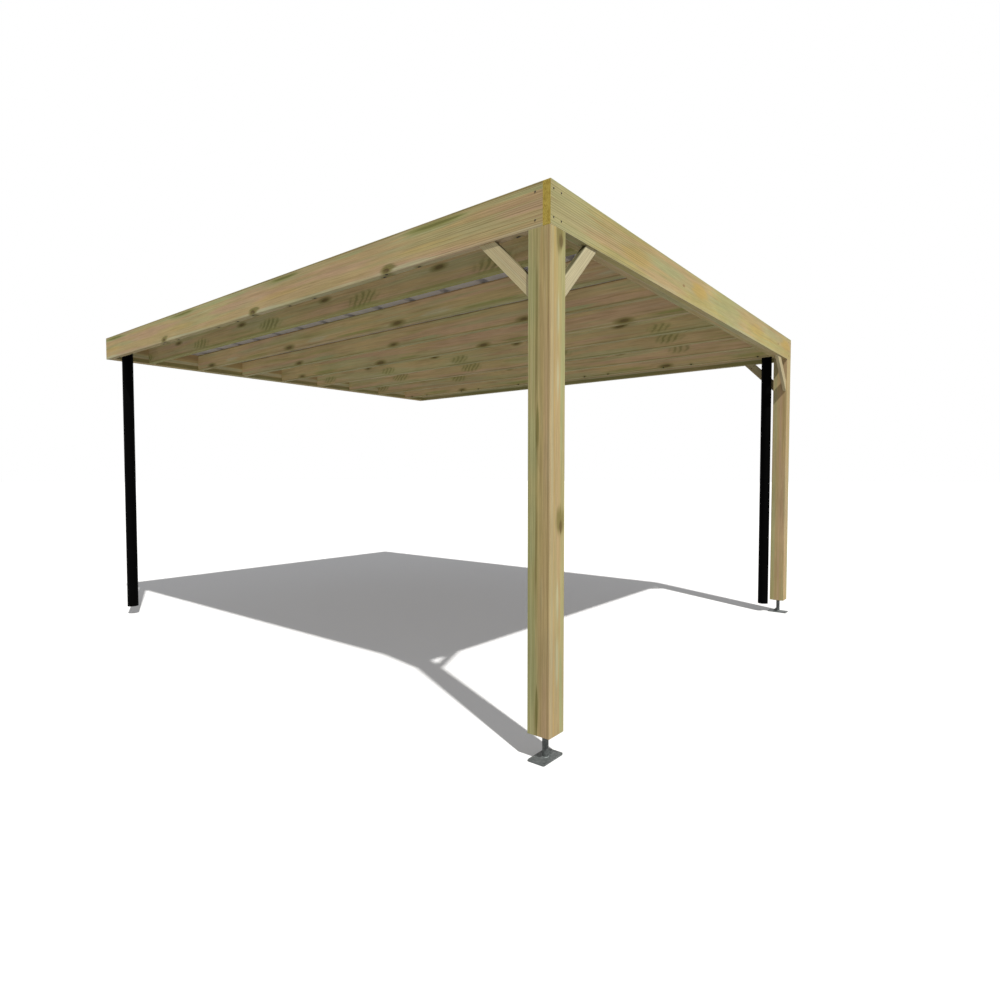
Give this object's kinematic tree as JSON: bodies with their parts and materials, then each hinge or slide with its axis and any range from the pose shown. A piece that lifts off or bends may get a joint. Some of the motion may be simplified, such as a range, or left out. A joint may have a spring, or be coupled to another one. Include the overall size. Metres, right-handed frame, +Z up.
{
  "type": "lean-to carport",
  "caption": "Flat-roofed timber carport that leans on a wall, with braced outer posts on steel feet, joists under a folded sheet roof, gutters and downpipes",
  "frame": {"origin": "middle of the wall plate's back face, which lies flat on the wall", "axes": "X runs away from the wall to the posts, Y runs from the near end to the far end, Z is up"},
  "size_m": [5.01, 4.084, 2.582],
  "materials": {
    "timber": "pressure-treated pine, sawn and planed, pale green and tan",
    "steel": "dull galvanised steel",
    "roof_sheet": "satin pale grey coating",
    "black_plastic": "plain black"
  },
  "bodies": {
    "root": {"near_beam": "timber", "outer_beam": "timber", "far_beam": "timber", "wall_plate": "timber", "wall_ledger": "timber", "outer_bearer": "timber", "joist_1": "timber", "joist_2": "timber", "joist_3": "timber", "joist_4": "timber", "joist_5": "timber", "joist_6": "timber", "joist_7": "timber", "joist_8": "timber", "post_near": "timber", "post_far": "timber", "brace_near_side": "timber", "brace_near_outer": "timber", "brace_far_side": "timber", "brace_far_outer": "timber", "base_near": "steel", "base_far": "steel", "stem_near": "steel", "stem_far": "steel", "cap_near": "steel", "cap_far": "steel", "sheet_1": "roof_sheet", "sheet_2": "roof_sheet", "sheet_3": "roof_sheet", "sheet_4": "roof_sheet", "sheet_5": "roof_sheet", "gutter_near": "black_plastic", "gutter_far": "black_plastic", "downpipe_near": "black_plastic", "downpipe_far": "black_plastic"}
  },
  "joints": []
}
